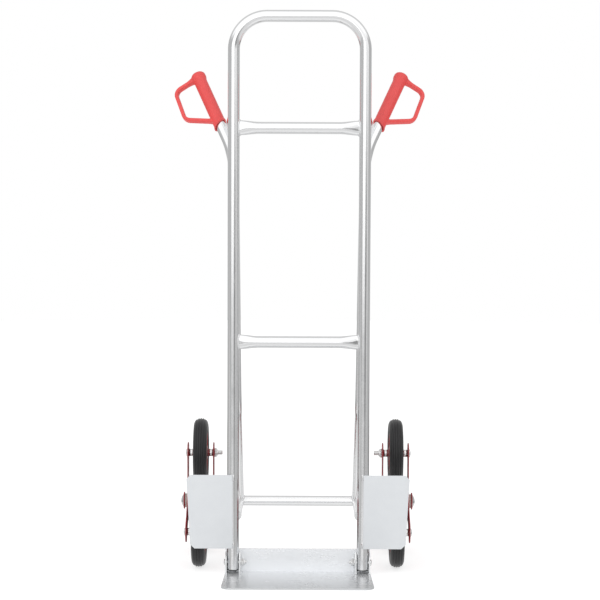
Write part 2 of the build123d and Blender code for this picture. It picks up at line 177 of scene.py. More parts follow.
def sheet_aluminium(name, light, dull, metallic):
    """Mill-finished sheet with a faint rolling grain and soft scuffs.
    Its colour is kept as shade, so that it can be darkened."""
    made = Shader(name, light, 0.26, metallic)
    grain = made.noise(made.stretched((8, 420, 420)), 1.0, 2.0, 0.5)
    clouds = made.noise(made.stretched((1, 1, 1)), 18.0, 3.0, 0.5)
    roughness = made.node("ShaderNodeMath", operation="ADD")
    made.link(made.ranged(grain, 0.21, 0.24), roughness.inputs[0])
    made.link(made.ranged(clouds, 0.0, 0.05), roughness.inputs[1])
    made.to(roughness.outputs[0], "Roughness")
    made.shade = made.two_colours(made.ranged(clouds, 0, 1), dull, light)
    made.to(made.shade, "Base Color")
    return made


def facing_up(made):
    """How far each face looks up, from -1 to 1."""
    facing = made.node("ShaderNodeSeparateXYZ")
    made.link(made.node("ShaderNodeNewGeometry").outputs["Normal"], facing.inputs[0])
    return facing.outputs["Z"]


def darkened(made, amount):
    """Multiply a sheet's colour by a value that varies over it."""
    grey = made.node("ShaderNodeCombineColor")
    for channel in ("Red", "Green", "Blue"):
        made.link(amount, grey.inputs[channel])
    blend = made.node("ShaderNodeMix", data_type="RGBA", blend_type="MULTIPLY")
    blend.inputs["Factor"].default_value = 1.0
    made.link(made.shade, blend.inputs["A"])
    made.link(grey.outputs["Color"], blend.inputs["B"])
    made.to(blend.outputs["Result"], "Base Color")


def toe_sheet():
    """The toe plate's sheet, with painted shade: faces that look up, such as its base, are darker than its
    flange, most of all in front.
    """
    made = sheet_aluminium("toe_aluminium", (0.965, 0.98, 1.0), (0.945, 0.965, 0.99), 0.50)
    depth = made.node("ShaderNodeSeparateXYZ")
    made.link(made.coordinates.outputs["Object"], depth.inputs[0])
    low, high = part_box("toe_plate")
    # Painted shade: the colour is darkened towards the front and on faces that look up.
    painted_shade = made.node("ShaderNodeMath", operation="MULTIPLY")
    made.link(made.ranged(depth.outputs["Y"], 0.66, 1.0, low.y + 0.03, high.y - 0.010), painted_shade.inputs[0])
    made.link(made.ranged(facing_up(made), 1.0, 0.79, 0.30, 0.70), painted_shade.inputs[1])
    darkened(made, painted_shade.outputs[0])
    return made.material


def brace_sheet():
    """Gusset sheet with painted shade: a little darker than the other sheet all over, and much darker on its
    edges, which face up.
    """
    made = sheet_aluminium("brace_aluminium", (0.80, 0.81, 0.82), (0.76, 0.77, 0.78), 1.0)
    # Painted shade: faces that look up are darkened to 0.3 of the sheet's colour.
    darkened(made, made.ranged(facing_up(made), 1.0, 0.30, 0.20, 0.45))
    return made.material


def painted(name, colour, shade, roughness, texture_scale, texture_depth):
    """Paint or moulded plastic: a soft colour shift, uneven gloss and a fine surface texture."""
    made = Shader(name, colour, roughness)
    clouds = made.noise(made.stretched((1, 1, 1)), 35.0, 4.0, 0.6)
    texture = made.noise(made.stretched((1, 1, 1)), texture_scale, 2.0, 0.5)
    made.to(made.two_colours(made.ranged(clouds, 0, 1), shade, colour), "Base Color")
    made.to(made.ranged(clouds, roughness - 0.05, roughness + 0.06), "Roughness")
    made.bump(texture, texture_depth, 0.5)
    return made.material


def plated_steel(name, colour, low, high):
    """Zinc or chrome plating with fine turning marks and a little mottling."""
    made = Shader(name, colour, (low + high) / 2, 1.0)
    mottle = made.noise(made.stretched((1, 1, 1)), 260.0, 4.0, 0.6)
    turning = made.noise(made.stretched((1500, 60, 60)), 1.0, 2.0, 0.5)
    made.to(made.ranged(mottle, low, high), "Roughness")
    darker = tuple(0.86 * part for part in colour)
    made.to(made.two_colours(made.ranged(mottle, 0, 1), darker, colour), "Base Color")
    made.bump(turning, 0.00002, 0.3)
    return made.material


MATERIALS = {
    "tube": drawn_aluminium("tube_aluminium", "UV"),
    "tube_x": drawn_aluminium("tube_aluminium_level", "X"),
    "tube_y": drawn_aluminium("tube_aluminium_fore_aft", "Y"),
    "sheet": sheet_aluminium("sheet_aluminium", (0.88, 0.89, 0.90), (0.85, 0.86, 0.87), 0.6).material,
    "toe": toe_sheet(),
    "brace": brace_sheet(),
    "guard": painted("guard_paint", (0.665, 0.685, 0.705), (0.64, 0.66, 0.682), 0.45, 1800.0, 0.00003),
    "grip": painted("grip_plastic", (0.80, 0.084, 0.080), (0.74, 0.070, 0.068), 0.34, 1500.0, 0.00004),
    "plug": painted("plug_plastic", (0.022, 0.023, 0.025), (0.016, 0.017, 0.018), 0.45, 1500.0, 0.00004),
    "star": painted("star_paint", (0.34, 0.018, 0.024), (0.27, 0.012, 0.018), 0.30, 900.0, 0.00006),
    "rim": painted("rim_plastic", (0.42, 0.018, 0.024), (0.36, 0.014, 0.020), 0.36, 1400.0, 0.00004),
    "tyre": painted("tyre_rubber", (0.014, 0.014, 0.015), (0.009, 0.009, 0.010), 0.38, 900.0, 0.00008),
    "bush": painted("bush_nylon", (0.62, 0.61, 0.57), (0.55, 0.54, 0.50), 0.50, 1200.0, 0.00003),
    "zinc": plated_steel("zinc_steel", (0.92, 0.92, 0.915), 0.12, 0.24),
    "cap": plated_steel("cap_metal", (0.86, 0.87, 0.88), 0.10, 0.20),
    "weld": plated_steel("weld_aluminium", (0.90, 0.905, 0.91), 0.22, 0.42),
}

# ---------------------------------------------------------------- finish for the CAD nodes that stay

# Each node's material and the width its sharp edges are rounded by; 0 leaves them as they are.
FINISH = {
    "rail_end_plugs": ("plug", 0.0003),
    "axle_tube": ("tube_x", 0),
    "axle_rod": ("zinc", 0),
    "axle_inner_washers": ("zinc", 0.0003),
    "axle_outer_washers": ("star", 0.0003),
    "axle_caps": ("cap", 0),
    "toe_plate": ("toe", 0.0006),
    "guard_welds": ("weld", 0.0008),
    "toe_washers": ("zinc", 0.0003),
}
SIDE_FINISH = {
    "lower_strut": ("tube_y", 0),
    "handle_brace": ("brace", 0.0005),
    "wheel_guard": ("guard", 0.0005),
    "toe_lugs": ("sheet", 0.0006),
    "star_outer_plate": ("star", 0.0005),
    "star_inner_plate": ("star", 0.0005),
    "star_hub_sleeve": ("star", 0),
    "star_hub_bushes": ("bush", 0.0003),
    "star_wheel_spacers": ("zinc", 0.0004),
}
for side, _ in SIDES:
    for name, finish in SIDE_FINISH.items():
        FINISH[f"{side}_{name}"] = finish
    for place in PLACES:
        FINISH[f"{side}_{place}_rim"] = ("rim", 0.0006)
        FINISH[f"{side}_{place}_wheel_bush"] = ("bush", 0)


def wear(piece, finish):
    """Give a piece one finish all over."""
    piece.data.materials.clear()
    piece.data.materials.append(MATERIALS[finish])


def soften(piece, width):
    """Round the sharp edges of a CAD node a little, as sheet and moulded edges are."""
    merge = piece.modifiers.new("merge", "WELD")
    merge.merge_threshold = 0.00001
    bevel = piece.modifiers.new("edges", "BEVEL")
    bevel.width = width
    bevel.segments = 2
    bevel.limit_method = "ANGLE"
    bevel.angle_limit = radians(40)
    bevel.harden_normals = True


for node, (finish, edge) in FINISH.items():
    wear(nodes[node], finish)
    if edge:
        soften(nodes[node], edge)

# ---------------------------------------------------------------- mesh building blocks


ON_AXIS = 0.0002  # radius of the small flat that ends a turned solid


def smooth_faces(data):
    """Smooth shading with crisp edges and flat end caps."""
    for face in data.polygons:
        face.use_smooth = len(face.vertices) <= 4
    data.set_sharp_from_angle(angle=radians(38))


def add_piece(name, points, faces, finish, body, replaced=(), uvs=None):
    """Make a smooth mesh piece that rides on a CAD body."""
    data = bpy.data.meshes.new(name)
    data.from_pydata([tuple(point) for point in points], [], faces)
    mesh = bmesh.new()
    mesh.from_mesh(data)
    bmesh.ops.recalc_face_normals(mesh, faces=mesh.faces)
    mesh.to_mesh(data)
    mesh.free()
    smooth_faces(data)
    if uvs:
        layer = data.uv_layers.new(name="length")
        for loop in data.loops:
            layer.data[loop.index].uv = uvs[loop.vertex_index]
    piece = bpy.data.objects.new(name, data)
    scene.collection.objects.link(piece)
    wear(piece, finish)
    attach(piece, body)
    if replaced:
        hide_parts(*replaced)


def grid_faces(rings, around):
    """Quads between rings of points that each go right round, with flat ends."""
    faces = []
    for ring in range(rings - 1):
        for step in range(around):
            low = ring * around
            after = (step + 1) % around
            faces.append((low + step, low + after, low + around + after, low + around + step))
    last = (rings - 1) * around
    faces.append(tuple(reversed(range(around))))
    faces.append(tuple(range(last, last + around)))
    return faces


def rounded_route(corners, radii, turn_step=radians(3), longest=0.04):
    """Points along straight runs that are joined by round bends, none further apart than longest."""
    corners = [Vector(corner) for corner in corners]
    route = [corners[0]]
    for before, corner, after, radius in zip(corners, corners[1:], corners[2:], radii):
        back = (before - corner).normalized()
        ahead = (after - corner).normalized()
        half = back.angle(ahead) / 2
        centre = corner + (back + ahead).normalized() * (radius / sin(half))
        start = corner + back * (radius / tan(half))
        finish = corner + ahead * (radius / tan(half))
        turn = pi - 2 * half
        axis = (start - centre).cross(finish - centre).normalized()
        steps = max(2, round(turn / turn_step))
        for step in range(steps + 1):
            swing = Matrix.Rotation(turn * step / steps, 3, axis)
            route.append(centre + swing @ (start - centre))
    route.append(corners[-1])
    dense = [route[0]]
    for before, after in zip(route, route[1:]):
        cuts = ceil((after - before).length / longest)
        dense += [before.lerp(after, cut / cuts) for cut in range(1, cuts + 1)]
    return dense


def frames_along(route, across):
    """A pair of cross directions at each point of a route, carried along without twist."""
    frames = []
    side = Vector(across)
    for index, point in enumerate(route):
        ahead = route[min(index + 1, len(route) - 1)] - route[max(index - 1, 0)]
        ahead.normalize()
        side = (side - ahead * side.dot(ahead)).normalized()
        frames.append((side.copy(), ahead.cross(side)))
    return frames


def sweep(route, section, across):
    """Rings of points along a route. section(index) gives the outline there as (side, up) pairs."""
    points = []
    for index, (point, (side, up)) in enumerate(zip(route, frames_along(route, across))):
        points += [point + side * a + up * b for a, b in section(index)]
    return points


def lengths(route):
    """Distance from the start at each point of a route."""
    total = [0.0]
    for before, after in zip(route, route[1:]):
        total.append(total[-1] + (after - before).length)
    return total


def resampled(route, pieces):
    """The same route as evenly spaced points."""
    run = lengths(route)
    points = []
    for step in range(pieces + 1):
        reach = run[-1] * step / pieces
        index = min(max(at for at, value in enumerate(run) if value <= reach + 1e-9), len(route) - 2)
        share = (reach - run[index]) / (run[index + 1] - run[index])
        points.append(route[index].lerp(route[index + 1], share))
    return points


def circle(radius, around):
    """(side, up) pairs round a circle."""
    turns = [2 * pi * step / around for step in range(around)]
    return [(radius * cos(turn), radius * sin(turn)) for turn in turns]


def unrolled(radius, step, around):
    """Distance round a tube in metres, there and back so that it has no seam."""
    return 2 * pi * radius * abs(2 * step / around - 1)


def tube(name, route, radius, replaced, around):
    """A bent tube of the frame, with texture coordinates that run along it in metres."""
    outline = circle(radius, around)
    points = sweep(route, lambda index: outline, (0, 1, 0))
    uvs = [(unrolled(radius, step, around), reach) for reach in lengths(route) for step in range(around)]
    add_piece(name, points, grid_faces(len(route), around), "tube", "frame", replaced, uvs)


def lathe(profile, centre, axis, around):
    """Points and faces of a solid turned about a line.
    The profile is (along, radius) pairs and is closed on itself."""
    axis = Vector(axis).normalized()
    side = axis.orthogonal().normalized()
    up = axis.cross(side)
    points = []
    for step in range(around):
        turn = 2 * pi * step / around
        out = side * cos(turn) + up * sin(turn)
        points += [Vector(centre) + axis * along + out * radius for along, radius in profile]
    faces = []
    count = len(profile)
    for step in range(around):
        here = step * count
        after = (step + 1) % around * count
        for index in range(count):
            following = (index + 1) % count
            faces.append((here + index, here + following, after + following, after + index))
    return points, faces


def merge_meshes(parts):
    """Join (points, faces) pairs into one."""
    points = []
    faces = []
    for some_points, some_faces in parts:
        base = len(points)
        points += some_points
        faces += [tuple(base + index for index in face) for face in some_faces]
    return points, faces


def bead(route, radius, across, closed=False):
    """A weld bead: overlapping, uneven ripples along a joint. Its ends are tapered unless it is closed."""
    around = 10
    pitch = 0.0016
    total = lengths(route)[-1]
    count = max(8, round(total / (pitch / 4)))

    def section(index):
        reach = total * index / count
        ripple = 0.86 + 0.16 * abs(sin(pi * reach / pitch))
        uneven = 0.05 * sin(reach * 900 + radius * 1e5)
        taper = 1.0 if closed else min(1.0, 0.35 + min(reach, total - reach) / (2 * radius))
        return circle(radius * (ripple + uneven) * taper, around)

    points = sweep(resampled(route, count), section, across)
    return points, grid_faces(count + 1, around)


# ---------------------------------------------------------------- frame tubes
loop_route = rounded_route(
    [
        (-RAIL_X, RAIL_Y, RAIL_BOTTOM_Z),
        (-RAIL_X, RAIL_Y, LOOP_TOP_Z),
        (RAIL_X, RAIL_Y, LOOP_TOP_Z),
        (RAIL_X, RAIL_Y, RAIL_BOTTOM_Z),
    ],
    [LOOP_BEND_R, LOOP_BEND_R],
)
tube("loop_tube", loop_route, RAIL_R, ["main_loop"], 64)

# A rear tube's straight runs meet at two corners. Above the upper one it leans along HANDLE_AXIS.
REAR_Y = RAIL_Y + RAIL_R + REAR_TUBE_R
HANDLE_AXIS = Vector((0.4855, 0.70, 1.0)).normalized()
HANDLE_CORNER = Vector((0.138, REAR_Y, 0.8885))
HANDLE_BEND_R = 0.130
GRIP_MOUTH = HANDLE_CORNER + HANDLE_AXIS * 0.0835
GRIP_LENGTH = 0.133
LOWER_CORNER = Vector((0.131, REAR_Y, 0.351))
LOWER_BEND_R = 0.085
AXLE_JOINT = Vector((0.1295, AXLE.y, AXLE.z))


def mirrored(point, sign):
    """The point itself on the right side, or its mirror image on the left."""
    return Vector((sign * point[0], point[1], point[2]))


for side, sign in SIDES:
    corners = [GRIP_MOUTH + HANDLE_AXIS * (GRIP_LENGTH - 0.006), HANDLE_CORNER, LOWER_CORNER, AXLE_JOINT]
    rear_route = rounded_route([mirrored(corner, sign) for corner in corners], [HANDLE_BEND_R, LOWER_BEND_R])
    tube(f"{side}_rear_tube_smooth", rear_route, REAR_TUBE_R, [f"{side}_rear_tube"], 56)

# ---------------------------------------------------------------- crossbars with pressed ends
SQUEEZE = 0.042  # length of a pressed end
SQUEEZED_HEIGHT = 0.0156  # half its height at the rail
SQUEEZED_DEPTH = 0.0088  # half its depth at the rail
DENT = 0.0014
DENT_SPREAD = 0.55
INTO_RAIL = 0.0004


def bar_outline(pinch, around):
    """(y, z) pairs of a bar's section: round at a pinch of 0, tall and dented in front and behind at 1."""
    depth = RAIL_R + (SQUEEZED_DEPTH - RAIL_R) * pinch
    height = RAIL_R + (SQUEEZED_HEIGHT - RAIL_R) * pinch
    outline = []
    for step in range(around):
        turn = 2 * pi * step / around
        hollow = DENT * pinch**2 * exp(-((sin(turn) / DENT_SPREAD) ** 2))
        outline.append((cos(turn) * (depth - hollow), sin(turn) * height))
    return outline


def crossbar(name, node):
    """A level tube whose ends are pressed flat, dented and coped round the rails."""
    z = middle(node).z
    around = 72
    ends = 26
    shares = [step / ends for step in range(ends + 1)]
    points = []
    uvs = []
    straight = RAIL_X - RAIL_R - SQUEEZE
    stations = [(-1, 1 - share) for share in shares] + [(1, share) for share in shares]
    for sign, pinch in stations:
        eased = pinch * pinch * (3 - 2 * pinch)
        for step, (y, up) in enumerate(bar_outline(eased, around)):
            inside = sqrt(max(RAIL_R**2 - y * y, 0))
            reach = straight + (RAIL_X - inside - straight + INTO_RAIL) * pinch
            points.append(Vector((sign * reach, RAIL_Y + y, z + up)))
            uvs.append((unrolled(RAIL_R, step, around), sign * reach))
    faces = grid_faces(len(stations), around)
    add_piece(name, points, faces, "tube", "frame", [node], uvs)
    beads = []
    around_bar = 1.02
    for sign in (-1, 1):
        route = []
        for y, up in bar_outline(1, around):
            inside = sqrt(max(RAIL_R**2 - y * y, 0))
            x = sign * (RAIL_X - inside - 0.0003)
            route.append(Vector((x, RAIL_Y + y * around_bar, z + up * around_bar)))
        route.append(route[0])
        beads.append(bead(route, 0.0017, (1, 0, 0), closed=True))
    points, faces = merge_meshes(beads)
    add_piece(f"{name}_welds", points, faces, "weld", "frame")


crossbar("upper_bar", "upper_crossbar")
crossbar("middle_bar", "middle_crossbar")

# ---------------------------------------------------------------- D grips
GUARD_OUT = Vector((HANDLE_AXIS.z, 0, -HANDLE_AXIS.x)).normalized()
GUARD_SIDE = GUARD_OUT.cross(HANDLE_AXIS)
SLEEVE_R = 0.0138
LIP_R = 0.016  # at the domed end
BORE_R = 0.0116
DOME = 0.0068
TONGUE = 0.009  # how far the mouth reaches down on the guard's side
MOUTH_RISE = 0.002  # how far it is cut back on the other side
COLLAR = 0.0013
# The guard's centre line: (out from the sleeve's axis, along it from the mouth), and its bends.
GUARD_CORNERS = ((0.004, 0.1290), (0.0587, 0.1213), (0.0632, 0.0465), (0.004, 0.0095))
GUARD_BENDS = (0.017, 0.018)
GUARD_HALF_WIDTH = 0.00675
GUARD_HALF_THICK = 0.0040
GUARD_EDGE_R = 0.0026


def sleeve_profile():
    """(along, radius) of the grip's sleeve, closed from the bore at the mouth to the dome."""
    bore_depth = 0.030
    point = 0.0001
    dome_from = GRIP_LENGTH - 0.002
    top = GRIP_LENGTH + DOME
    profile = [(bore_depth, point), (bore_depth, BORE_R), (-TONGUE, BORE_R), (-TONGUE, SLEEVE_R + COLLAR)]
    profile += [(-TONGUE + 0.0030, SLEEVE_R + COLLAR), (-TONGUE + 0.0055, SLEEVE_R), (0.010, SLEEVE_R)]
    profile += [(0.115, SLEEVE_R), (0.120, SLEEVE_R + 0.0006), (0.124, LIP_R - 0.0004), (0.1265, LIP_R)]
    steps = 8
    for step in range(1, steps):
        turn = pi / 2 * step / steps
        profile.append((dome_from + (top - dome_from) * sin(turn), LIP_R * cos(turn) ** 0.6))
    profile.append((top, point))
    return profile


def guard_section(reach, total):
    """The guard's outline, swelling where it runs into the sleeve at its top and its foot."""
    near_top = max(0.0, 1 - reach / 0.026) ** 2
    near_foot = max(0.0, 1 - (total - reach) / 0.020) ** 2
    width = GUARD_HALF_WIDTH + 0.0030 * near_top + 0.0020 * near_foot - GUARD_EDGE_R
    thick = GUARD_HALF_THICK + 0.0052 * near_top + 0.0022 * near_foot - GUARD_EDGE_R
    outline = []
    for quarter, (across, up) in enumerate(((1, 1), (-1, 1), (-1, -1), (1, -1))):
        for step in range(5):
            turn = pi / 2 * (quarter + step / 4)
            outline.append((across * width + GUARD_EDGE_R * cos(turn), up * thick + GUARD_EDGE_R * sin(turn)))
    return outline


def add_faces(mesh, points, faces):
    """Add points and faces to a bmesh."""
    corners = [mesh.verts.new(point) for point in points]
    for face in faces:
        mesh.faces.new([corners[index] for index in face])


def grip_mesh():
    """The right grip as overlapping shells: the sleeve with its slanted mouth, and the hand guard."""
    mesh = bmesh.new()
    add_faces(mesh, *lathe(sleeve_profile(), GRIP_MOUTH, HANDLE_AXIS, 72))
    bmesh.ops.remove_doubles(mesh, verts=mesh.verts, dist=0.00002)
    at_mouth = [vert for vert in mesh.verts if (vert.co - GRIP_MOUTH).dot(HANDLE_AXIS) < 0.0005]
    for vert in at_mouth:
        share = ((vert.co - GRIP_MOUTH).dot(GUARD_OUT) + SLEEVE_R) / (2 * SLEEVE_R)
        vert.co += HANDLE_AXIS * (TONGUE + MOUTH_RISE) * (1 - share)
    corners = [GRIP_MOUTH + GUARD_OUT * out + HANDLE_AXIS * along for out, along in GUARD_CORNERS]
    bent = rounded_route(corners, GUARD_BENDS, radians(5))
    total = lengths(bent)[-1]
    pieces = 90
    route = resampled(bent, pieces)
    points = sweep(route, lambda index: guard_section(total * index / pieces, total), GUARD_SIDE)
    add_faces(mesh, points, grid_faces(pieces + 1, len(guard_section(0, total))))
    bmesh.ops.recalc_face_normals(mesh, faces=mesh.faces)
    return mesh


def make_grip(side, sign):
    """One grip, moulded in one piece: its shells are joined by a fine remesh and smoothed."""
    mesh = grip_mesh()
    data = bpy.data.meshes.new(f"{side}_grip_moulding")
    mesh.to_mesh(data)
    mesh.free()
    if sign < 0:
        data.transform(Matrix.Scale(-1, 4, (1, 0, 0)))
        data.flip_normals()
    piece = bpy.data.objects.new(f"{side}_grip_moulding", data)
    scene.collection.objects.link(piece)
    remesh = piece.modifiers.new("mould", "REMESH")
    remesh.mode = "VOXEL"
    remesh.voxel_size = 0.0007
    remesh.use_smooth_shade = True
    smooth = piece.modifiers.new("soft", "SMOOTH")
    smooth.factor = 0.5
    smooth.iterations = 7
    bpy.context.view_layer.update()
    graph = bpy.context.evaluated_depsgraph_get()
    moulded = bpy.data.meshes.new_from_object(piece.evaluated_get(graph))
    piece.modifiers.clear()
    piece.data = moulded
    for face in moulded.polygons:
        face.use_smooth = True
    wear(piece, "grip")
    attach(piece, "frame")
    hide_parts(f"{side}_grip")


for side, sign in SIDES:
    make_grip(side, sign)

# ---------------------------------------------------------------- wheels
WHEEL_R = half_size("right_top_tyre").z
TYRE_HALF = half_size("right_top_tyre").x
SEAT_R = half_size("right_top_rim").z
SHOULDER_R = 0.0135
TREAD_GROOVES = (-0.0078, -0.0026, 0.0026, 0.0078)
TREAD_DEPTH = 0.0014
GROOVE_WIDTH = 0.0011
RIBS = 5
RIB_HALF = 0.0017
RIB_FOOT_R = 0.0135
WEB_FACE = 0.0018


def tyre_profile():
    """A solid tyre's section: bead, sidewall step, round shoulders and a ribbed tread."""
    flat = TYRE_HALF - SHOULDER_R
    seat = [(-TYRE_HALF + 0.0032, SEAT_R + 0.0002), (TYRE_HALF - 0.0032, SEAT_R + 0.0002)]
    wall = [
        (TYRE_HALF - 0.0018, SEAT_R + 0.0008),
        (TYRE_HALF - 0.0012, SEAT_R + 0.0045),
        (TYRE_HALF - 0.0022, SEAT_R + 0.0053),
        (TYRE_HALF - 0.0022, SEAT_R + 0.0060),
        (TYRE_HALF - 0.0006, SEAT_R + 0.0068),
        (TYRE_HALF, SEAT_R + 0.0080),
    ]
    half = []
    steps = 39
    for step in range(1, steps + 1):
        turn = pi / 2 * step / steps
        half.append((flat + SHOULDER_R * cos(turn), WHEEL_R - SHOULDER_R + SHOULDER_R * sin(turn)))
    half += [(flat * share, WHEEL_R) for share in (0.75, 0.5, 0.25)]
    crown = half + [(0.0, WHEEL_R)] + [(-along, radius) for along, radius in reversed(half)]
    profile = seat + wall
    for along, radius in crown:
        sunk = sum(exp(-(((along - groove) / GROOVE_WIDTH) ** 2)) for groove in TREAD_GROOVES)
        profile.append((along, radius - TREAD_DEPTH * sunk))
    profile += [(-along, radius) for along, radius in reversed(wall)]
    return profile


def rim_rib(face, turn, centre):
    """One rib across the web, from the hub to the lip, dished in the middle."""
    out = Vector((0, cos(turn), sin(turn)))
    wide = Vector((1, 0, 0)).cross(out)
    length = SEAT_R - 0.0050 - RIB_FOOT_R
    outline = ((-1, 0.0), (-1, 0.92), (-0.6, 1.0), (0.6, 1.0), (1, 0.92), (1, 0.0))
    points = []
    steps = 8
    for step in range(steps + 1):
        share = step / steps
        radius = RIB_FOOT_R + length * share
        height = 0.0118 - 0.0032 * sin(pi * share)
        for across, up in outline:
            along = face * (WEB_FACE + (height - WEB_FACE) * up)
            points.append(centre + out * radius + wide * RIB_HALF * across + Vector((along, 0, 0)))
    return points, grid_faces(steps + 1, len(outline))


def rim_details(centre):
    """Rolled lips, a hub ring and ribs across the web, on both faces of a rim."""
    rings = ((0.0118, SEAT_R - 0.0044, 0.0011), (0.0128, 0.0142, 0.0010))
    parts = []
    for face in (-1, 1):
        for along, radius, thick in rings:
            ring = [(face * along + a, radius + b) for a, b in circle(thick, 8)]
            parts.append(lathe(ring, centre, (1, 0, 0), 72))
        parts += [rim_rib(face, 2 * pi * (rib + 0.5) / RIBS, centre) for rib in range(RIBS)]
    return merge_meshes(parts)


for side, _ in SIDES:
    for place in PLACES:
        centre = middle(f"{side}_{place}_tyre")
        body = f"{side}_{place}_wheel"
        points, faces = lathe(tyre_profile(), centre, (1, 0, 0), 144)
        add_piece(f"{body}_tyre_ribbed", points, faces, "tyre", body, [f"{side}_{place}_tyre"])
        points, faces = rim_details(centre)
        add_piece(f"{body}_rim_ribs", points, faces, "rim", body)

# ---------------------------------------------------------------- bolts and nuts


def off_axis(x, radius, turn, centre):
    """A point at a radius from the line through centre parallel to X."""
    return Vector((x, centre.y + radius * cos(turn), centre.z + radius * sin(turn)))


def threaded(x_start, x_end, radius, pitch, centre):
    """A round shank with a real helical thread that runs out at both ends, parallel to X."""
    around = 24
    per_turn = 6
    rings = max(2, round((x_end - x_start) / (pitch / per_turn)))
    depth = 0.55 * pitch
    points = []
    for ring in range(rings + 1):
        along = x_start + (x_end - x_start) * ring / rings
        full = min(1.0, min(ring, rings - ring) / per_turn + 0.2)
        for step in range(around):
            phase = (along / pitch - step / around) % 1.0
            cut = depth * (1 - abs(2 * phase - 1)) * full + 0.25 * pitch * (1 - full)
            points.append(off_axis(along, radius - cut, 2 * pi * step / around, centre))
    return points, grid_faces(rings + 1, around)


def turned(profile, centre):
    """A solid turned about the line through centre parallel to X, from (x, radius) pairs."""
    around = 40
    turns = [2 * pi * step / around for step in range(around)]
    points = [off_axis(x, radius, turn, centre) for x, radius in profile for turn in turns]
    return points, grid_faces(len(profile), around)


def hexagon(x_start, x_end, flats, collar_x, collar_r, centre):
    """A chamfered hexagon with a round lock collar on one side."""
    around = 72
    corner_r = flats / 2 / cos(pi / 6)
    face_r = flats / 2 * 0.97
    chamfer = 0.16 * (x_end - x_start)
    rings = [
        (collar_x, collar_r - 0.0008, True),
        (collar_x + (x_start - collar_x) * 0.35, collar_r, True),
        (x_start, collar_r, True),
        (x_start, face_r, True),
        (x_start + chamfer, corner_r, False),
        (x_end - chamfer, corner_r, False),
        (x_end, face_r, True),
    ]
    points = []
    for x, limit, is_round in rings:
        for step in range(around):
            turn = 2 * pi * step / around
            from_flat = (turn + pi / 6) % (pi / 3) - pi / 6
            radius = limit if is_round else min(limit, flats / 2 / cos(from_flat))
            points.append(off_axis(x, radius, turn, centre))
    return points, grid_faces(len(rings), around)


def dome_head(x_face, direction, radius, height, centre):
    """A low domed bolt head on a round flange."""
    flange = 0.0008
    steps = 8
    profile = [(x_face, ON_AXIS), (x_face, radius), (x_face + direction * flange, radius)]
    for step in range(1, steps + 1):
        turn = pi / 2 * step / steps
        rise = flange + (height - flange) * sin(turn)
        profile.append((x_face + direction * rise, max(radius * cos(turn) ** 0.7, ON_AXIS)))
    return turned(profile, centre)


def shank(x_start, x_end, radius, centre):
    """The plain part of a bolt."""
    return turned([(x_start, ON_AXIS), (x_start, radius), (x_end, radius), (x_end, ON_AXIS)], centre)


BOLT_R = 0.005
BOLT_PITCH = 0.0015
BOLT_HEAD_R = 0.009
NUT_FLATS = 0.017
NUT_COLLAR = 0.0022
NUT_COLLAR_R = 0.0068
for side, sign in SIDES:
    body = f"{side}_star"
    thread_end, head_end = sorted((corner.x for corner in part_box(f"{side}_star_wheel_bolts")), key=abs)
    nut_end, nut_face = sorted((corner.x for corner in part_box(f"{side}_star_wheel_nuts")), key=abs)
    head_face = max((corner.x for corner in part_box(f"{side}_star_outer_plate")), key=abs)
    thread_stop = nut_face - sign * 0.0005  # just inside the nut
    bolts = []
    nuts = []
    for place in PLACES:
        centre = middle(f"{side}_{place}_tyre")
        bolts.append(threaded(*sorted((thread_end, thread_stop)), BOLT_R, BOLT_PITCH, centre))
        bolts.append(shank(thread_stop, head_face, BOLT_R - 0.00005, centre))
        bolts.append(dome_head(head_face, sign, BOLT_HEAD_R, abs(head_end - head_face), centre))
        nuts.append(hexagon(nut_end + sign * NUT_COLLAR, nut_face, NUT_FLATS, nut_end, NUT_COLLAR_R, centre))
    points, faces = merge_meshes(bolts)
    replaced = [f"{side}_star_wheel_bolts"]
    add_piece(f"{side}_star_bolts_threaded", points, faces, "zinc", body, replaced)
    points, faces = merge_meshes(nuts)
    replaced = [f"{side}_star_wheel_nuts"]
    add_piece(f"{side}_star_lock_nuts", points, faces, "zinc", body, replaced)

TOE_BOLT_R = 0.004
TOE_PITCH = 0.00125
TOE_HEAD_R = 0.0068
TOE_NUT = 0.0075
TOE_NUT_FLATS = 0.013
TOE_NUT_COLLAR = 0.0018
TOE_NUT_COLLAR_R = 0.0056
TOE_THREAD_PAST = 0.0035
toe_head_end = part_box("toe_bolts")[1].x
toe_head_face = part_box("right_toe_lugs")[1].x
toe_nut_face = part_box("toe_nuts")[1].x
toe_nut_end = toe_nut_face - TOE_NUT
centre = Vector((0, RAIL_Y, middle("toe_bolts").z))
bolts = []
nuts = []
for _, sign in SIDES:
    thread = sorted((sign * (toe_nut_end - TOE_THREAD_PAST), sign * toe_nut_face))
    bolts.append(threaded(*thread, TOE_BOLT_R, TOE_PITCH, centre))
    bolts.append(shank(sign * toe_nut_face, sign * toe_head_face, TOE_BOLT_R, centre))
    bolts.append(dome_head(sign * toe_head_face, sign, TOE_HEAD_R, toe_head_end - toe_head_face, centre))
    hex_end, hex_face = sign * (toe_nut_end + TOE_NUT_COLLAR), sign * toe_nut_face
    nuts.append(hexagon(hex_end, hex_face, TOE_NUT_FLATS, sign * toe_nut_end, TOE_NUT_COLLAR_R, centre))
points, faces = merge_meshes(bolts)
add_piece("toe_bolts_threaded", points, faces, "zinc", "frame", ["toe_bolts"])
points, faces = merge_meshes(nuts)
add_piece("toe_lock_nuts", points, faces, "zinc", "frame", ["toe_nuts"])

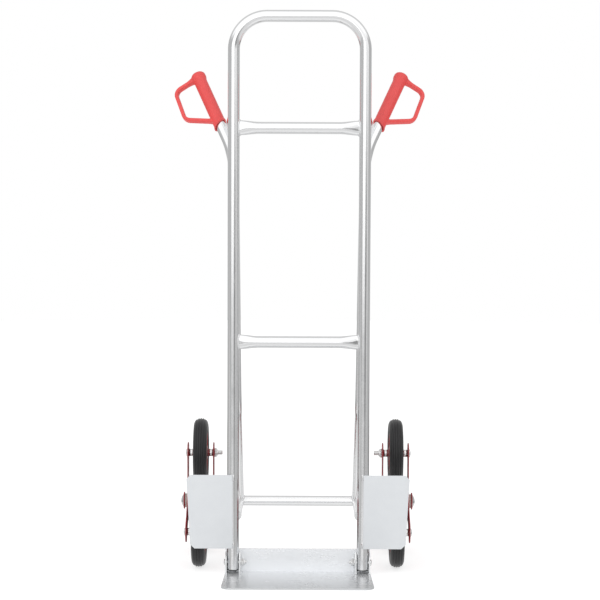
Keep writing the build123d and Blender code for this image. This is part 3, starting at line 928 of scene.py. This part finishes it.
# ---------------------------------------------------------------- weld beads
STRUT_R = 0.0105
STRUT_X = middle("right_lower_strut").x
STRUT_Z = middle("right_lower_strut").z
BRACE_OUT = Vector((0.4127, 1.15, 0)).normalized()  # from a rail towards its rear tube
BRACE_SIDE = BRACE_OUT.cross(Vector((0, 0, 1)))
BRACE_WELD = (0.918, 0.945, 0.972)  # heights along it
SEAM_WELDS = ((0.560, 0.590), (0.800, 0.830))  # lowest and highest point of each
SHEET_TOP = 0.0035  # upper face of the toe plate's base
LUG_THICK = 0.0032
LUG_WELD = (0.011, 0.028, 0.045)  # heights along it
PROUD = 0.0004  # how far a bead's line stands off the surface
lug_low, lug_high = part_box("right_toe_lugs")
FLANGE_Y = RAIL_Y + RAIL_R + 0.0002


def arc(start, end, steps=40):
    """Angles in radians from start to end, given in degrees."""
    return [radians(start + (end - start) * step / steps) for step in range(steps + 1)]


def strut_to_rail():
    """The joint between a strut and the back of a rail, where the strut meets it."""
    route = []
    for turn in arc(-114, 114):
        x = STRUT_X + STRUT_R * cos(turn)
        y = RAIL_Y + sqrt(max(RAIL_R**2 - (x - RAIL_X) ** 2, 0))
        route.append(Vector((x, y + 0.0006, STRUT_Z + STRUT_R * sin(turn))))
    return route


def strut_to_axle():
    """The joint between a strut and the front of the axle tube, under the rear tube."""
    route = []
    for turn in arc(165, 375):
        rise = STRUT_Z + STRUT_R * sin(turn) - AXLE.z
        y = AXLE.y - sqrt(max(REAR_TUBE_R**2 - rise * rise, 0))
        route.append(Vector((STRUT_X + STRUT_R * cos(turn), y, STRUT_Z + STRUT_R * sin(turn))))
    return route


def rear_tube_to_axle():
    """The saddle where a rear tube lands on the axle tube."""
    ahead = (LOWER_CORNER - AXLE_JOINT).normalized()
    level = Vector((1, 0, 0))
    up = ahead.cross(level).normalized()
    route = []
    for turn in arc(0, 360, 72):
        reach = REAR_TUBE_R * abs(cos(turn)) + PROUD
        out = level * cos(turn) + up * sin(turn)
        route.append(AXLE_JOINT + ahead * reach + out * (REAR_TUBE_R + 0.0002))
    return route


def seam(low, high, inner):
    """A short run in the groove between a rail and its rear tube. inner is 1 or -1 for the two sides."""
    route = []
    for z in (low, (low + high) / 2, high):
        share = (z - LOWER_CORNER.z) / (HANDLE_CORNER.z - LOWER_CORNER.z)
        tube_x = LOWER_CORNER.x + (HANDLE_CORNER.x - LOWER_CORNER.x) * share
        route.append(Vector(((RAIL_X + tube_x) / 2 - 0.0052 * inner, RAIL_Y + RAIL_R + 0.0002, z)))
    return route


runs = [(strut_to_rail(), 0.0019), (strut_to_axle(), 0.0019), (rear_tube_to_axle(), 0.0020)]
runs += [(seam(low, high, inner), 0.0019) for low, high in SEAM_WELDS for inner in (1, -1)]
for face in (-1, 1):
    foot = Vector((RAIL_X, RAIL_Y, 0)) + BRACE_OUT * (RAIL_R + 0.0007) + BRACE_SIDE * face * 0.0026
    runs.append(([foot + Vector((0, 0, z)) for z in BRACE_WELD], 0.0015))
for x in (lug_low.x - PROUD, lug_high.x - LUG_THICK - PROUD):
    depths = (lug_low.y + 0.001, FLANGE_Y - 0.009, FLANGE_Y - 0.006)
    runs.append(([Vector((x, y, SHEET_TOP + PROUD)) for y in depths], 0.0017))
    runs.append(([Vector((x, FLANGE_Y - PROUD, z)) for z in LUG_WELD], 0.0015))
beads = []
for _, sign in SIDES:
    for route, radius in runs:
        beads.append(bead([mirrored(point, sign) for point in route], radius, (0.3, 0.5, 0.8)))
points, faces = merge_meshes(beads)
add_piece("joint_welds", points, faces, "weld", "frame")

# ---------------------------------------------------------------- floor, light and camera


def make_floor():
    """A plain pale disc that the trolley stands on, just under its wheels."""
    mesh = bmesh.new()
    bmesh.ops.create_circle(mesh, cap_ends=True, radius=6.0, segments=96)
    data = bpy.data.meshes.new("floor")
    mesh.to_mesh(data)
    mesh.free()
    floor = bpy.data.objects.new("floor", data)
    floor.location.z = -0.0005
    scene.collection.objects.link(floor)
    pale = Shader("floor_paint", (0.46, 0.46, 0.46), 0.9)
    pale.shader.inputs["Emission Color"].default_value = (1, 1, 1, 1)
    pale.shader.inputs["Emission Strength"].default_value = 0.70
    data.materials.append(pale.material)
    floor.visible_glossy = False


# Panels on the studio's walls: azimuth range and height range in degrees, and brightness.
# Azimuth 0 is the camera's side and grows towards +X. A later panel covers an earlier one.
WALL = 0.50
PANELS = [
    (-42, 10, -4.3, 90, 1.25),
    (10, 60, -0.4, 90, 0.95),
    (8, 42, -9, -1.0, 0.27),
    (44, 62, -6.4, -0.6, 0.74),
    (66, 112, -90, 90, 0.46),
    (-62, -44, -6.6, -3.6, 0.36),
    (-84, -62, -9, -6.6, 0.72),
    (112, 168, -14, -6.5, 0.22),
    (-168, -112, -14, -6.5, 0.30),
    (-32, 12, -24, -10.0, 0.92),
    (150, 210, -90, 90, 0.80),
    (-210, -150, -90, 90, 0.80),
]
# Above the walls is a ceiling, and below them a low wall and then the ground. Ceiling and ground are brighter
# on the camera's side.
FRONT_CEILING, BACK_CEILING = 1.12, 0.66
LOW_WALL, FRONT_GROUND, BACK_GROUND = 0.74, 0.88, 0.60
SIDE_EDGE, LEVEL_EDGE = 3.0, 0.9


def studio_world():
    """A bright room: an even ceiling, a pale floor, and soft panels and dark flags round the walls."""
    world = bpy.data.worlds.new("studio")
    world.use_nodes = True
    scene.world = world
    tree = world.node_tree

    def node(kind, **settings):
        made = tree.nodes.new(kind)
        for key, value in settings.items():
            setattr(made, key, value)
        return made

    def feed(socket, value):
        if isinstance(value, (int, float)):
            socket.default_value = value
        else:
            tree.links.new(value, socket)

    def maths(operation, first, second=0.0):
        made = node("ShaderNodeMath", operation=operation)
        feed(made.inputs[0], first)
        feed(made.inputs[1], second)
        return made.outputs[0]

    def smooth(value, low, high):
        made = node("ShaderNodeMapRange", interpolation_type="SMOOTHSTEP")
        made.inputs["From Min"].default_value = low
        made.inputs["From Max"].default_value = high
        feed(made.inputs["Value"], value)
        return made.outputs["Result"]

    def between(value, low, high, edge):
        """1 between low and high and 0 outside, with soft edges."""
        past_high = smooth(value, high - edge, high + edge)
        return maths("MULTIPLY", smooth(value, low - edge, low + edge), maths("SUBTRACT", 1.0, past_high))

    def mix(factor, first, second):
        made = node("ShaderNodeMix", data_type="FLOAT")
        feed(made.inputs["Factor"], factor)
        feed(made.inputs["A"], first)
        feed(made.inputs["B"], second)
        return made.outputs["Result"]

    direction = node("ShaderNodeSeparateXYZ")
    tree.links.new(node("ShaderNodeTexCoord").outputs["Generated"], direction.inputs[0])
    towards_camera = maths("MULTIPLY", direction.outputs["Y"], -1.0)
    azimuth = maths("DEGREES", maths("ARCTAN2", direction.outputs["X"], towards_camera))
    elevation = maths("DEGREES", maths("ARCSINE", direction.outputs["Z"]))
    walls = WALL
    for left, right, low, high, light in PANELS:
        across = between(azimuth, left, right, SIDE_EDGE)
        upright = between(elevation, low, high, LEVEL_EDGE)
        walls = mix(maths("MULTIPLY", across, upright), walls, light)
    behind = smooth(direction.outputs["Y"], -0.15, 0.25)
    ceiling = mix(behind, FRONT_CEILING, BACK_CEILING)
    ground = mix(behind, FRONT_GROUND, BACK_GROUND)
    down = maths("MULTIPLY", elevation, -1.0)
    below = mix(smooth(down, 40, 52), LOW_WALL, ground)
    with_floor = mix(smooth(down, 12, 20), walls, below)
    room = mix(smooth(elevation, 14, 28), with_floor, ceiling)
    seen = mix(node("ShaderNodeLightPath").outputs["Is Camera Ray"], room, 1.0)
    tree.links.new(seen, tree.nodes["Background"].inputs["Color"])


def add_area(name, place, target, size, power):
    """A soft square panel light aimed at a point."""
    light = bpy.data.lights.new(name, "AREA")
    light.shape = "SQUARE"
    light.size = size
    light.energy = power
    holder = bpy.data.objects.new(name, light)
    holder.location = place
    holder.rotation_mode = "QUATERNION"
    holder.rotation_quaternion = (Vector(target) - Vector(place)).to_track_quat("-Z", "Y")
    scene.collection.objects.link(holder)
    holder.visible_glossy = False


def make_camera():
    """A long lens at about waist height, tipped slightly down."""
    stand_off = 4.7552
    eye_height = 0.9648
    side_step = 0.0025
    lens = 136.14
    tip_down = radians(4.574)
    roll = radians(0.24)
    data = bpy.data.cameras.new("camera")
    data.sensor_width = 36
    data.lens = lens
    camera = bpy.data.objects.new("camera", data)
    turned = Matrix.Rotation(pi / 2 - tip_down, 4, "X") @ Matrix.Rotation(roll, 4, "Z")
    camera.matrix_world = Matrix.Translation((side_step, RAIL_Y - stand_off, eye_height)) @ turned
    scene.collection.objects.link(camera)
    scene.camera = camera


make_floor()
studio_world()
add_area("key_light", (-1.6, -2.6, 2.6), (0, 0, 0.6), 1.6, 14)
make_camera()
scene.view_settings.view_transform = "Standard"
